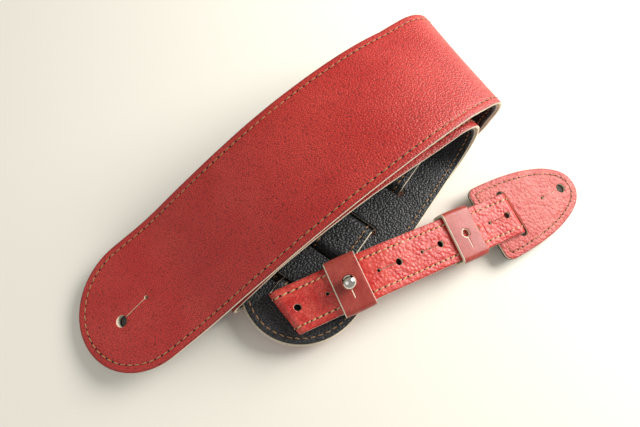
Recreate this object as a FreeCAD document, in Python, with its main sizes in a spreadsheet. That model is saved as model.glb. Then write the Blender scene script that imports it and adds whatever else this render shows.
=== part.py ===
"""Rolled leather guitar strap: wide padded strap, woven tail strap, end tab, keepers and stud.

Every leather strip is described by its centre line: a chain of straight, curved and folded
stretches, with the strip's own width direction carried along.  Each leather layer is the band
between two offsets from that centre surface.  Flat ends are plates cut to outline.
Lengths are millimetres and angles degrees.  The row frame has +Z up, and its origin is the
bottom centre of the bounding box.
"""
import FreeCAD, Part
import math
import os
from FreeCAD import Matrix, Placement, Rotation, Vector

SIZES = (
    # alias, value, meaning
    ("strap_width", 70.0, "width of the wide strap"),
    ("strap_face", 1.8, "red face leather of the wide strap"),
    ("strap_pad", 1.5, "padding between face and backing"),
    ("strap_back", 1.2, "black backing leather of the wide strap"),
    ("glue_gap", 0.05, "glue line between two layers"),
    ("strap_end_round", 38.0, "length over which a strap end rounds off"),
    ("strap_end_flat", 50.6, "flat length of the top end, from its tip"),
    ("strap_inner_flat", 122.5, "flat length of the inner end, up to its tip"),
    ("slot_first", 27.9, "first weaving slot, from the inner tip"),
    ("slot_second", 55.1, "second weaving slot"),
    ("slot_third", 79.7, "third weaving slot"),
    ("slot_fourth", 109.2, "fourth weaving slot"),
    ("slot_length", 36.0, "length of a weaving slot, across the strap"),
    ("slot_width", 6.2, "opening of a weaving slot"),
    ("button_hole_radius", 3.2, "strap button hole"),
    ("button_hole_from_tip", 23.3, "button hole centre, from the top tip"),
    ("button_hole_aside", 2.7, "button hole centre, to the right of the strap's centre line"),
    ("button_slit", 17.5, "button hole centre to the end of its slit"),
    ("button_slit_turn", 5.9, "turn of the slit, from the strap's centre line"),
    ("slit_width", 0.5, "width of every slit"),
    ("slit_end_radius", 1.1, "small hole that ends a slit"),
    ("left_fold_radius", 7.0, "radius of the tight fold at the left"),
    ("stitch_inset", 3.8, "stitch row, from the leather edge"),
    ("thread_width", 0.9, "width of a stitch row"),
    ("thread_height", 0.3, "height of a stitch row"),
    ("tail_width", 25.4, "width of the tail strap"),
    ("tail_face", 1.5, "red face leather of the tail"),
    ("tail_back", 1.25, "black backing leather of the tail"),
    ("tail_offset", 3.05, "tail centre line, from the wide strap's centre line"),
    ("tail_hole_radius", 2.0, "adjustment hole of the tail"),
    ("tail_hole_1", 3.4, "adjustment holes, from the end of the tail's fold"),
    ("tail_hole_2", 32.6, "the hole that takes the stud"),
    ("tail_hole_3", 61.5, "third adjustment hole"),
    ("tail_hole_4", 88.5, "fourth adjustment hole"),
    ("tail_hole_5", 113.5, "fifth adjustment hole"),
    ("tail_hole_6", 135.5, "sixth adjustment hole"),
    ("tail_slit", 12.3, "adjustment hole centre to the end of its slit"),
    ("wrap_radius", 3.7, "tail's bend round the tab's bar, at mid thickness"),
    ("tab_length", 67.3, "length of the end tab"),
    ("tab_half_width", 23.3, "half width of the end tab"),
    ("tab_face", 1.5, "red face leather of the end tab"),
    ("tab_back", 1.2, "black backing leather of the end tab"),
    ("tab_corner", 5.0, "rounding of the tab's square corners"),
    ("tab_slot_start", 15.4, "near side of the tab's slot, from its square edge"),
    ("tab_slot_end", 21.4, "far side of the tab's slot"),
    ("tab_slot_length", 30.0, "length of the tab's slot"),
    ("tab_hole_radius", 3.0, "button hole of the end tab"),
    ("tab_hole_at", 57.2, "button hole of the end tab, from its square edge"),
    ("tab_slit", 15.1, "tab's button hole centre to the end of its slit"),
    ("keeper_width", 17.4, "width of a keeper band"),
    ("keeper_thickness", 1.8, "thickness of a keeper band"),
    ("keeper_clearance", 0.6, "room between a keeper and the leather inside it"),
    ("stud_ball_radius", 4.0, "ball of the stud"),
    ("stud_neck_radius", 1.6, "neck of the stud"),
    ("stud_base_radius", 5.0, "base disc of the stud"),
    ("stud_base_height", 1.0, "base disc of the stud"),
    ("screw_head_radius", 4.5, "head of the stud's screw"),
    ("screw_head_height", 0.9, "head of the stud's screw"),
    ("screw_radius", 1.1, "shank of the stud's screw"),
    ("stud_layer_gap", 4.4, "upper to lower layer of the tail, at mid thickness"),
    ("slider_at", 104.5, "middle of the sliding keeper, from the end of the tail's fold"),
)

doc = FreeCAD.newDocument("guitar_strap")
sheet = doc.addObject("Spreadsheet::Sheet", "Sizes")
for row, (alias, value, meaning) in enumerate(SIZES, start=1):
    sheet.set("A%d" % row, alias)
    sheet.set("B%d" % row, str(value))
    sheet.set("C%d" % row, meaning)
    sheet.setAlias("B%d" % row, alias)
doc.recompute()


def size(alias):
    return float(getattr(sheet, alias))


class Strip:
    """Centre line of a strip of leather, as a list of stations.

    A station is (distance, point, along, across, skew).  Its section line runs through the
    point along across + skew * along, so a fold may lie at an angle to the strip.
    Slope, heading and roll are radians; slope passes 180 degrees when the strip turns back.
    """

    def __init__(self, point, heading, slope=0.0, roll=0.0):
        self.point, self.heading, self.slope, self.roll = point, heading, slope, roll
        self.skew, self.distance, self.stations = 0.0, 0.0, []
        self.record()

    def axes(self):
        along = Vector(math.cos(self.slope) * math.cos(self.heading),
                       math.cos(self.slope) * math.sin(self.heading), math.sin(self.slope))
        level = Vector(-math.sin(self.heading), math.cos(self.heading), 0)
        across = level * math.cos(self.roll) + along.cross(level) * math.sin(self.roll)
        return along, across

    def record(self):
        along, across = self.axes()
        self.stations.append((self.distance, self.point, along, across, self.skew))

    def go(self, length, slope=None, heading=None, roll=None, skew=None, step=5.0):
        """A stretch over which the angles change evenly to the values given."""
        start = (self.slope, self.heading, self.roll, self.skew)
        end = tuple(a if b is None else b for a, b in zip(start, (slope, heading, roll, skew)))
        count = max(1, math.ceil(length / step))
        for i in range(1, count + 1):
            for share in ((i - 0.5) / count, i / count):
                state = [a + (b - a) * share for a, b in zip(start, end)]
                self.slope, self.heading, self.roll, self.skew = state
                if share < i / count:
                    self.point = self.point + self.axes()[0] * (length / count)
            self.distance += length / count
            self.record()
        return self

    def arc(self, radius, turn, step=5.0, **ends):
        """A bend of one radius, about a line square to the strip."""
        return self.go(abs(turn) * radius, slope=self.slope + turn, step=step, **ends)

    def fold(self, radius, turn, lean, step=3.0):
        """A half turn about a line that leans away from square, so the heading changes."""
        along, across = self.axes()
        ruling = across * math.cos(lean) + along * math.sin(lean)
        ahead = along * math.cos(lean) - across * math.sin(lean)
        normal = along.cross(across)
        side = math.copysign(1.0, turn)
        start, length = self.point, radius * abs(turn) / math.cos(lean)
        count = max(6, math.ceil(length / step))
        for i in range(1, count + 1):
            angle = abs(turn) * i / count
            tangent = ahead * math.cos(angle) + normal * (side * math.sin(angle))
            self.point = (start + ruling * (math.sin(lean) * length * i / count)
                          + ahead * (radius * math.sin(angle))
                          + normal * (side * radius * (1 - math.cos(angle))))
            self.distance += length / count
            self.stations.append((self.distance, self.point,
                                  tangent * math.cos(lean) + ruling * math.sin(lean),
                                  ruling * math.cos(lean) - tangent * math.sin(lean),
                                  math.tan(lean)))
        self.heading -= 2 * lean * math.copysign(1.0, math.cos(self.slope))
        self.slope += turn
        return self

    def at(self, distance):
        """Point, along, across and outward directions at a distance."""
        for a, b in zip(self.stations, self.stations[1:]):
            if a[0] - 1e-6 <= distance <= b[0] + 1e-6:
                share = (distance - a[0]) / (b[0] - a[0])
                point, along, across = (a[k] + (b[k] - a[k]) * share for k in (1, 2, 3))
                along.normalize()
                across = across - along * across.dot(along)
                across.normalize()
                return point, along, across, along.cross(across)
        raise ValueError("no station at %g" % distance)

    def between(self, start, end):
        return [s for s in self.stations if start - 1e-6 <= s[0] <= end + 1e-6]


def band(stations, near, far, low, high, spans=400):
    """Solid band between two edge lines (near, far) and two offsets (low, high).

    Each of its four sides is one face for every so many spans between stations.
    """
    faces, ends = [], []
    for first in range(0, len(stations) - 1, spans):
        stretch = stations[first:first + spans + 1]
        edges = []
        for offset_across, offset_up in ((near, low), (far, low), (far, high), (near, high)):
            points = [p + (across + along * skew) * offset_across + along.cross(across) * offset_up
                      for _, p, along, across, skew in stretch]
            curve = Part.BSplineCurve()
            curve.interpolate(Points=points, Parameters=[s[0] for s in stretch])
            edges.append(curve.toShape())
        faces += [Part.makeRuledSurface(edges[i], edges[(i + 1) % 4], 1) for i in range(4)]
        ends += [[e.Vertexes[pick].Point for e in edges] for pick in (0, -1)]
    for corners in (ends[0], ends[-1]):
        faces.append(Part.Face(Part.makePolygon(corners + corners[:1])))
    shell = Part.makeShell(faces)
    shell.sewShape()
    solid = outward(Part.makeSolid(shell))
    assert shell.isClosed()
    return solid


def outward(solid):
    if solid.Volume < 0:
        solid.reverse()
    return solid


def frame(point, x_axis, y_axis):
    z_axis = x_axis.cross(y_axis)
    return Placement(Matrix(x_axis.x, y_axis.x, z_axis.x, point.x,
                            x_axis.y, y_axis.y, z_axis.y, point.y,
                            x_axis.z, y_axis.z, z_axis.z, point.z, 0, 0, 0, 1))


def plate(face, place, low, high):
    """Flat plate: a face in a frame's XY plane, thickened from low to high."""
    solid = face.extrude(Vector(0, 0, high - low))
    solid.translate(Vector(0, 0, low))
    solid.Placement = place.multiply(solid.Placement)
    return outward(solid)


def placed(cutter, place):
    cutter.Placement = place.multiply(cutter.Placement)
    return cutter


def rounded_end(length, half_width, rounding):
    """Strip end from x = 0 to a rounded tip at x = length."""
    square = length - rounding
    arc = Part.ArcOfEllipse(Part.Ellipse(Vector(square, 0, 0), max(rounding, half_width),
                                         min(rounding, half_width)), -math.pi / 2, math.pi / 2)
    start, end = Vector(square, -half_width, 0), Vector(square, half_width, 0)
    lines = [Part.makeLine(end, Vector(0, half_width, 0)),
             Part.makeLine(Vector(0, half_width, 0), Vector(0, -half_width, 0)),
             Part.makeLine(Vector(0, -half_width, 0), start)]
    return Part.Face(Part.Wire(Part.__sortEdges__([arc.toShape()] + lines)))


def ring(face, inset, width):
    """Band of a stitch row that follows a face's outline."""
    outer = face.makeOffset2D(-(inset - width / 2))
    inner = face.makeOffset2D(-(inset + width / 2))
    return outer.cut(inner)


def long_hole(x_low, x_high, half_length, depth=12.0):
    """Cutter for a slot with rounded ends; it runs across, along y."""
    radius = (x_high - x_low) / 2
    middle = (x_low + x_high) / 2
    box = Part.makeBox(x_high - x_low, 2 * (half_length - radius), depth,
                       Vector(x_low, radius - half_length, -depth / 2))
    for side in (-1, 1):
        box = box.fuse(Part.makeCylinder(radius, depth,
                                         Vector(middle, side * (half_length - radius), -depth / 2)))
    return box


def button_hole(x, radius, slit_to, depth=12.0):
    """Cutter for a button hole with its slit and the small hole that ends it."""
    low, high = sorted((x, slit_to))
    width, end = size("slit_width"), size("slit_end_radius")
    hole = Part.makeCylinder(radius, depth, Vector(x, 0, -depth / 2))
    hole = hole.fuse(Part.makeBox(high - low, width, depth, Vector(low, -width / 2, -depth / 2)))
    return hole.fuse(Part.makeCylinder(end, depth, Vector(slit_to, 0, -depth / 2)))


shapes = {}

# ---------------------------------------------------------------- wide strap centre line
strap_total = size("strap_face") + size("strap_pad") + size("strap_back")
half_strap = size("strap_width") / 2
tail_total = size("tail_face") + size("tail_back")
STRAP_START = Vector(-96.8, 9.07, 10.57)    # centre line, abreast of the button hole
RAMP_HEADING = math.radians(43.4)
RAMP_SLOPE, RAMP_ROLL = 0.25, -0.11
INNER_HEADING = math.radians(60.3)

along, across = Strip(STRAP_START, RAMP_HEADING, RAMP_SLOPE, RAMP_ROLL).axes()
tip = STRAP_START - along * size("button_hole_from_tip")
strap = Strip(tip, RAMP_HEADING, RAMP_SLOPE, RAMP_ROLL)
strap.go(size("strap_end_flat"))
strap.go(20, slope=0.44).go(42, slope=0.39).go(50, slope=0.19).go(40, slope=0.0)
strap.go(25, slope=-0.2).go(15, roll=-0.05)
top_of_outer_fold = strap.distance
rest_height = strap_total / 2
outer_radius = (strap.point.z - rest_height) / (1 + math.cos(strap.slope))
strap.arc(outer_radius, -math.pi / 2 - strap.slope, roll=0.06, heading=math.radians(36.0))
strap.arc(outer_radius, -math.pi / 2, roll=0.0, heading=math.radians(43.0))
strap.go(149)
inner_radius = size("left_fold_radius")
strap.arc(inner_radius, -math.pi + 0.55, step=2.5, heading=math.radians(42.2))
strap.go(31, roll=-0.09).go(14, slope=-2 * math.pi + 0.38)
strap.go(46, slope=-2 * math.pi + 0.10).go(36, slope=-2 * math.pi, roll=0.0).go(12, skew=-0.14)
shelf = strap_total + tail_total + 0.45 + rest_height
fold_lean = (strap.heading - INNER_HEADING) / 2
fold_radius = (strap.point.z - shelf) / 2
strap.fold(fold_radius, -math.pi, fold_lean, step=4.0)
strap.go(16, skew=0.0)

# ---------------------------------------------------------------- wide strap layers
gap = size("glue_gap")
LAYERS = {
    "face": (rest_height - size("strap_face"), rest_height),
    "padding": (size("strap_back") - rest_height + gap,
                rest_height - size("strap_face") - gap),
    "backing": (-rest_height, size("strap_back") - rest_height),
}
flat = size("strap_end_flat")
point, along, across, up = strap.at(flat)
top_frame = frame(point, along * -1, across)            # x toward the top tip, z inward
point, along, across, up = strap.at(strap.distance)
inner_frame = frame(point, along, across)               # x toward the inner tip, z outward
bent = strap.between(flat, strap.distance)
top_outline = rounded_end(flat, half_strap, size("strap_end_round"))
inner_flat = size("strap_inner_flat")
inner_outline = rounded_end(inner_flat, half_strap, size("strap_end_round"))
hole_at = Vector(flat - size("button_hole_from_tip"), -size("button_hole_aside"), 0)
hole_frame = top_frame.multiply(
    Placement(hole_at, Rotation(Vector(0, 0, 1), -size("button_slit_turn"))))
end_cutter = placed(button_hole(0, size("button_hole_radius"), -size("button_slit")), hole_frame)
slot_cutters = []
for name in ("slot_first", "slot_second", "slot_third", "slot_fourth"):
    middle = inner_flat - size(name)
    slot = long_hole(middle - size("slot_width") / 2, middle + size("slot_width") / 2,
                     size("slot_length") / 2)
    slot_cutters.append(placed(slot, inner_frame))
for name, (low, high) in LAYERS.items():
    bend = band(bent, -half_strap, half_strap, low, high)
    shapes["strap_" + name] = bend.fuse(plate(inner_outline, inner_frame, low, high)).cut(
        slot_cutters)
    shapes["strap_end_" + name] = plate(top_outline, top_frame, -high, -low).cut(end_cutter)

# ---------------------------------------------------------------- stitch rows of the strap
inset, wide, tall = size("stitch_inset"), size("thread_width"), size("thread_height")


def round_row(length, place, low, high):
    """Stitch row round a strap end, open at x = 0."""
    spare = 20.0
    outline = rounded_end(length + spare, half_strap, size("strap_end_round"))
    outline.translate(Vector(-spare, 0, 0))
    row = ring(outline, inset, wide)
    return plate(row.cut(Part.makePlane(spare + 1, 200, Vector(-spare - 1, -100, 0))),
                 place, low, high)


def side_rows(stations, half_width, low, high):
    edge = half_width - inset
    return [band(stations, side * edge - wide / 2, side * edge + wide / 2, low, high)
            for side in (-1, 1)]


seat = 0.22                           # a row stands clear of its leather
rest, lift = rest_height + seat, rest_height + seat + tall
shown_top = strap.between(flat, top_of_outer_fold + 1.6 * outer_radius)
shapes["strap_face_thread"] = Part.makeCompound(
    side_rows(shown_top, half_strap, rest, lift) + [round_row(flat, top_frame, -lift, -rest)])
shown_inner = strap.between(strap.distance - 16 - 2.2 * fold_radius, strap.distance)
shapes["strap_back_thread"] = Part.makeCompound(
    side_rows(shown_inner, half_strap, -lift, -rest)
    + [round_row(inner_flat, inner_frame, -lift, -rest)])

# ---------------------------------------------------------------- tail centre line
half_tail = tail_total / 2
over = strap.point.z + rest_height + 0.2 + half_tail
under = strap_total + 0.2 + half_tail
TAIL_HEADING = math.radians(30.0)
WEAVE_RADIUS, WEAVE_TILT = 3.0, math.radians(65)
drop = over - under
steep = (drop - 2 * WEAVE_RADIUS * (1 - math.cos(WEAVE_TILT))) / math.sin(WEAVE_TILT)
reach = 2 * WEAVE_RADIUS * math.sin(WEAVE_TILT) + steep * math.cos(WEAVE_TILT)
HIDDEN_TIP = -10.0                                       # from the start of the inner flat end

point, along, across, up = strap.at(strap.distance)
start = point + along * HIDDEN_TIP - across * size("tail_offset")
start.z = over
tail = Strip(start, INNER_HEADING, math.pi)


def level_to(x):
    """Go level until x along the inner end."""
    global position
    tail.go(x - position, step=3.0)
    position = x


def weave(x, sign):
    """Dive (+1) or rise (-1) through the slot whose middle is at x."""
    global position
    level_to(x - reach / 2)
    tail.arc(WEAVE_RADIUS, sign * WEAVE_TILT, step=0.9)
    tail.go(steep, step=1.2)
    tail.arc(WEAVE_RADIUS, -sign * WEAVE_TILT, step=0.9)
    position = x + reach / 2


position = HIDDEN_TIP
for name, sign in (("slot_fourth", 1), ("slot_third", -1), ("slot_second", 1), ("slot_first", -1)):
    weave(inner_flat - size(name), sign)
woven_end = tail.distance
fold_angle = (INNER_HEADING - TAIL_HEADING) / 2
tail.go(5.8, skew=math.tan(-fold_angle), step=1.9)
fold_start = tail.distance
tail.fold(3.0, -math.pi, -fold_angle, step=0.8)
fold_end = tail.distance
tail.go(8, skew=0.0, step=2.0)
tail.go(10, slope=0.20).go(14, slope=0.14).go(10, slope=-0.01).go(18, slope=-0.168, roll=0.08)
tail.go(58)
loop_start = tail.distance
tail.go(19.5, slope=-0.02, roll=0.05)
wrap_start = tail.distance
tail.arc(size("wrap_radius"), -math.pi, step=1.2, roll=-0.05)
wrap_end = tail.distance
back = -math.pi
tail.go(14, slope=back - 0.13, roll=-0.06).go(5, slope=back - 0.67, roll=-0.07)
loop_end = tail.distance
tail.go(5, slope=back - 0.179, roll=-0.08, step=2.5).go(53)
tail.go(18, slope=back - 0.01, roll=0.0).go(10, slope=back + 0.11).go(10, slope=back + 0.14)
tail_end = tail.distance

# ---------------------------------------------------------------- tail layers
FACE = (half_tail - size("tail_face"), half_tail)
BACK = (-half_tail, half_tail - size("tail_face") - gap)
PARTS_OF_TAIL = {"woven": (0, fold_start), "fold": (fold_start, fold_end),
                 "run": (fold_end, loop_start), "loop": (loop_start, loop_end),
                 "return": (loop_end, tail_end)}


SPANS = 12                            # spans in each face of a tail layer


def tail_frame(distance):
    point, along, across, up = tail.at(fold_end + distance)
    return frame(point, along, across)


def tail_hole(distance, slit=True):
    reach = size("tail_slit") if slit else 0.0
    if slit:
        cutter = button_hole(0, size("tail_hole_radius"), -reach, 8.0)
    else:
        cutter = Part.makeCylinder(size("tail_hole_radius"), 8.0, Vector(0, 0, -4.0))
    return placed(cutter, tail_frame(distance))


STUD_AT, SLIDER_AT = size("tail_hole_2"), size("slider_at")
screw_hole = placed(Part.makeCylinder(size("screw_radius") + 0.4, 6.0,
                                      Vector(0, 0, -3.0 - size("stud_layer_gap"))),
                    tail_frame(STUD_AT))
tail_cutters = {
    "run": [tail_hole(size("tail_hole_1"), slit=False)]
           + [tail_hole(size("tail_hole_%d" % n)) for n in (2, 3, 4, 5)],
    "loop": [tail_hole(size("tail_hole_6"))],
    "return": [screw_hole],
}
for part, (start, end) in PARTS_OF_TAIL.items():
    for layer, (low, high) in (("face", FACE), ("backing", BACK)):
        solid = band(tail.between(start, end), -size("tail_width") / 2, size("tail_width") / 2,
                     low, high, SPANS)
        if part in tail_cutters:
            solid = solid.cut(tail_cutters[part])
        shapes["tail_%s_%s" % (part, layer)] = solid
for part, start, end in (("run", fold_end, loop_start), ("loop", loop_start, wrap_start)):
    rows = side_rows(tail.between(start, end), size("tail_width") / 2,
                     half_tail + seat, half_tail + seat + tall)
    shapes["tail_%s_thread" % part] = Part.makeCompound(rows)

# ---------------------------------------------------------------- end tab
BAR_REACH = 0.8                       # tail's bend centre, inside the slot's near side
TAB_TURN, TAB_PITCH = math.radians(3.0), 0.075
tab_total = size("tab_face") + size("tab_back") + gap
upper, lower = tail.at(wrap_start), tail.at(wrap_end)
bend_centre = (upper[0] + lower[0]) * 0.5
along, across, up = upper[1], upper[2], upper[3]
tab_x = (along * math.cos(TAB_TURN) + across * math.sin(TAB_TURN)) * math.cos(TAB_PITCH) \
    - up * math.sin(TAB_PITCH)
tab_y = (up.cross(tab_x)).normalize()
tab_frame = frame(bend_centre - tab_x * (size("tab_slot_start") - BAR_REACH), tab_x, tab_y)


def tab_outline(margin=0.0):
    """Square edge with rounded corners and a rounded nose, set in by a margin all round."""
    corner, power = size("tab_corner"), 2 / 2.25
    half = size("tab_half_width") - margin
    nose, radius = size("tab_length") - corner - margin, corner - margin
    turns = [math.radians(a) for a in range(-90, 91, 6)]
    points = [Vector(corner + nose * abs(math.cos(t)) ** power,
                     math.copysign(half * abs(math.sin(t)) ** power, t), 0) for t in turns]
    points[0], points[-1] = Vector(corner, -half, 0), Vector(corner, half, 0)
    curve = Part.BSplineCurve()
    curve.interpolate(Points=points)
    diagonal = radius * (1 - math.sqrt(0.5))
    arcs = [Part.Arc(Vector(corner, s * half, 0),
                     Vector(margin + diagonal, s * (half - diagonal), 0),
                     Vector(margin, s * (half - radius), 0)).toShape() for s in (1, -1)]
    edge = Part.makeLine(Vector(margin, half - radius, 0), Vector(margin, radius - half, 0))
    return Part.Face(Part.Wire(Part.__sortEdges__([curve.toShape(), edge] + arcs)))


outline = tab_outline()
tab_cutters = [placed(long_hole(size("tab_slot_start"), size("tab_slot_end"),
                                size("tab_slot_length") / 2), tab_frame),
               placed(button_hole(size("tab_hole_at"), size("tab_hole_radius"),
                                  size("tab_hole_at") - size("tab_slit")), tab_frame)]
tab_top = tab_total / 2
shapes["tab_face"] = plate(outline, tab_frame, tab_top - size("tab_face"), tab_top).cut(tab_cutters)
shapes["tab_backing"] = plate(outline, tab_frame, -tab_top,
                              size("tab_back") - tab_top).cut(tab_cutters)
shapes["tab_thread"] = plate(tab_outline(inset - wide / 2).cut(tab_outline(inset + wide / 2)), tab_frame,
                             tab_top + 0.05, tab_top + 0.05 + tall)

# ---------------------------------------------------------------- keepers, stud and screw
cells = {alias: "Sizes." + alias for alias, _, _ in SIZES}


def primitive(kind, label, place=None, **formulas):
    """Part primitive whose dimensions and placement follow the sheet."""
    item = doc.addObject("Part::" + kind, label)
    if place:
        for axis, formula in place.items():
            item.setExpression("Placement.Base." + axis, formula.format(**cells))
    for name, formula in formulas.items():
        item.setExpression(name, formula.format(**cells))
    return item


def combine(kind, label, parts):
    item = doc.addObject("Part::" + kind, label)
    if kind == "Cut":
        item.Base, item.Tool = parts
    else:
        item.Shapes = parts
    return item


def keeper(label, room_below, hole_radius, slit):
    """Band round both layers of the tail; the top layer's mid plane is z = 0."""
    wide_in = "({tail_width} + 2 * {keeper_clearance})"
    half_layer = "(({tail_face} + {tail_back}) / 2)"
    top_in = "(" + half_layer + " + {keeper_clearance})"
    base_in = "(-{stud_layer_gap} - " + half_layer + " - %s)" % room_below
    skin = "{keeper_thickness}"
    outer = primitive("Box", label + "_outer",
                      {"x": "-{keeper_width} / 2", "y": "-" + wide_in + " / 2 - " + skin,
                       "z": base_in + " - " + skin},
                      Length="{keeper_width}", Width=wide_in + " + 2 * " + skin,
                      Height=top_in + " - " + base_in + " + 2 * " + skin)
    inner = primitive("Box", label + "_inner",
                      {"x": "-{keeper_width}", "y": "-" + wide_in + " / 2", "z": base_in},
                      Length="2 * {keeper_width}", Width=wide_in,
                      Height=top_in + " - " + base_in)
    doc.recompute()
    rounded = [round_long_edges(outer, 2.2), round_long_edges(inner, 0.9)]
    hole = primitive("Cylinder", label + "_hole", {"z": "0"}, Radius=hole_radius,
                     Height=top_in + " + 2 * " + skin)
    cut_line = primitive("Box", label + "_slit", {"x": "-{slit_width} / 2", "y": "-(%s)" % slit,
                                                  "z": "0"},
                         Length="{slit_width}", Width=slit, Height=top_in + " + 2 * " + skin)
    openings = combine("MultiFuse", label + "_openings", [hole, cut_line])
    return combine("Cut", label, [combine("Cut", label + "_ring", rounded), openings])


def round_long_edges(box, radius):
    item = doc.addObject("Part::Fillet", box.Label + "_rounded")
    item.Base = box
    item.Edges = [(n, radius, radius) for n, edge in enumerate(box.Shape.Edges, start=1)
                  if abs(edge.tangentAt(edge.FirstParameter).x) > 0.99]
    return item


def stud():
    """Ball, neck and base disc; z = 0 is the mid plane of the tail's top layer."""
    base_top = "(-({tail_face} + {tail_back}) / 2 - 0.15)"
    ball_z = "(({tail_face} + {tail_back}) / 2 + {keeper_clearance} + {keeper_thickness}" \
             " + 0.25 + {stud_ball_radius})"
    ball = primitive("Sphere", "stud_sphere", {"z": ball_z}, Radius="{stud_ball_radius}")
    neck = primitive("Cylinder", "stud_neck", {"z": base_top}, Radius="{stud_neck_radius}",
                     Height=ball_z + " - " + base_top)
    base = primitive("Cylinder", "stud_base", {"z": base_top + " - {stud_base_height}"},
                     Radius="{stud_base_radius}", Height="{stud_base_height}")
    bore = primitive("Cylinder", "stud_bore", {"z": base_top + " - {stud_base_height} - 1"},
                     Radius="{screw_radius} + 0.1", Height="{stud_base_height} + 5")
    return combine("Cut", "stud_ball", [combine("MultiFuse", "stud_solid", [ball, neck, base]), bore])


def screw():
    head_top = "(-{stud_layer_gap} - ({tail_face} + {tail_back}) / 2 - 0.25)"
    head = primitive("Cylinder", "screw_head", {"z": head_top + " - {screw_head_height}"},
                     Radius="{screw_head_radius}", Height="{screw_head_height}")
    shank = primitive("Cylinder", "screw_shank", {"z": head_top}, Radius="{screw_radius}",
                      Height="{stud_layer_gap} + 3")
    slot = primitive("Box", "screw_slot",
                     {"x": "-{screw_head_radius}", "y": "-0.4",
                      "z": head_top + " - {screw_head_height} - 0.1"},
                     Length="2 * {screw_head_radius}", Width="0.8", Height="0.6")
    return combine("Cut", "stud_screw", [combine("MultiFuse", "screw_solid", [head, shank]), slot])


modelled = {
    "stud_keeper": (keeper("stud_keeper", "1.25", "2.2", "8"), tail_frame(STUD_AT)),
    "sliding_keeper": (keeper("sliding_keeper", "0.65", "2.6", "8.5"),
                       tail_frame(SLIDER_AT)),
    "stud_ball": (stud(), tail_frame(STUD_AT)),
    "stud_screw": (screw(), tail_frame(STUD_AT)),
}
doc.recompute()

# ---------------------------------------------------------------- into the row frame
leather = {}
for name, shape in shapes.items():
    leather[name] = doc.addObject("Part::Feature", name)
    leather[name].Shape = shape
for name, (item, place) in modelled.items():
    item.Placement = place
doc.recompute()
nodes = dict(leather)
nodes.update({name: item for name, (item, place) in modelled.items()})
bounds = FreeCAD.BoundBox()
for item in nodes.values():
    bounds.add(item.Shape.optimalBoundingBox(True, False))
origin = Vector((bounds.XMin + bounds.XMax) / 2, (bounds.YMin + bounds.YMax) / 2, bounds.ZMin)
for item in nodes.values():
    item.Placement = Placement(origin * -1, Rotation()).multiply(item.Placement)
doc.recompute()

# ---------------------------------------------------------------- checks and export
os.makedirs("parts", exist_ok=True)
for item in doc.Objects:
    assert not {"Invalid", "Error"} & set(item.State), item.Label
for name, item in nodes.items():
    shape = item.Shape
    assert not shape.isNull() and shape.isValid() and shape.Solids, name
    assert all(solid.Volume > 0 for solid in shape.Solids), name
    shape.exportStep("parts/%s.step" % name)
    box = shape.BoundBox
    print("%-22s solids %d volume %8.1f  x %.1f..%.1f y %.1f..%.1f z %.1f..%.1f" % (
        name, len(shape.Solids), shape.Volume, box.XMin, box.XMax, box.YMin, box.YMax,
        box.ZMin, box.ZMax))


def show(label, point, *directions):
    values = [tuple(round(c, 5) for c in (point - origin) * 0.001)]
    print(label, values[0], *[tuple(round(c, 5) for c in d) for d in directions])


print("origin", origin, "size", bounds.XLength, bounds.YLength, bounds.ZLength)
show("top hole", hole_frame.Base, *[v * -1 for v in strap.at(flat)[1:]])
show("tab hole", tab_frame.multVec(Vector(size("tab_hole_at"), 0, 0)), tab_x, tab_y,
     tab_x.cross(tab_y))
point, along, across, up = tail.at((fold_start + fold_end) / 2)
show("tail fold", point, along, across, up)
for label, distance in (("stud", STUD_AT), ("slider", SLIDER_AT), ("loop", loop_start - fold_end)):
    show(label, *tail.at(fold_end + distance))
show("wrap centre", bend_centre)
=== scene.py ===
"""Rolled leather guitar strap: the looks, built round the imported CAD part.

Every leather layer is a flat pattern (an outline with its holes, ringed by inset lines) that
is mapped onto the same centre lines as the CAD part.  Patterns and paths are millimetres.
"""

import math

import bmesh
import bpy
import numpy as np
from mathutils import Matrix, Vector, noise


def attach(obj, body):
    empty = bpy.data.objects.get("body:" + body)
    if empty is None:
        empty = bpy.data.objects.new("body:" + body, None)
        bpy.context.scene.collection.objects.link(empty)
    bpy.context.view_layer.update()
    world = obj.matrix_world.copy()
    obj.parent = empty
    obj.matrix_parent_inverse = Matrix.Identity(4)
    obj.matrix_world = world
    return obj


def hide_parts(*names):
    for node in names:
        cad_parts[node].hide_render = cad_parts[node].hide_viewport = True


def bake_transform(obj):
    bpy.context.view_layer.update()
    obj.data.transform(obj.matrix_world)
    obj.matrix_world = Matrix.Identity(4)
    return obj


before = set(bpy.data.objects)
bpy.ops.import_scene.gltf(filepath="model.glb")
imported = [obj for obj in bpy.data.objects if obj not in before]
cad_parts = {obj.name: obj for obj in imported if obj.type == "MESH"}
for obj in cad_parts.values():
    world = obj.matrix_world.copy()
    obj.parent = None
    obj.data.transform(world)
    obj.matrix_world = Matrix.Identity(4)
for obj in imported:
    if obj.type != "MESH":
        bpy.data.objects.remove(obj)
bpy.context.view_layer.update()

MM = 0.001
ORIGIN = Vector((16.298981, 90.315197, -0.136596))  # of the row frame, in the paths' frame

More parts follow.
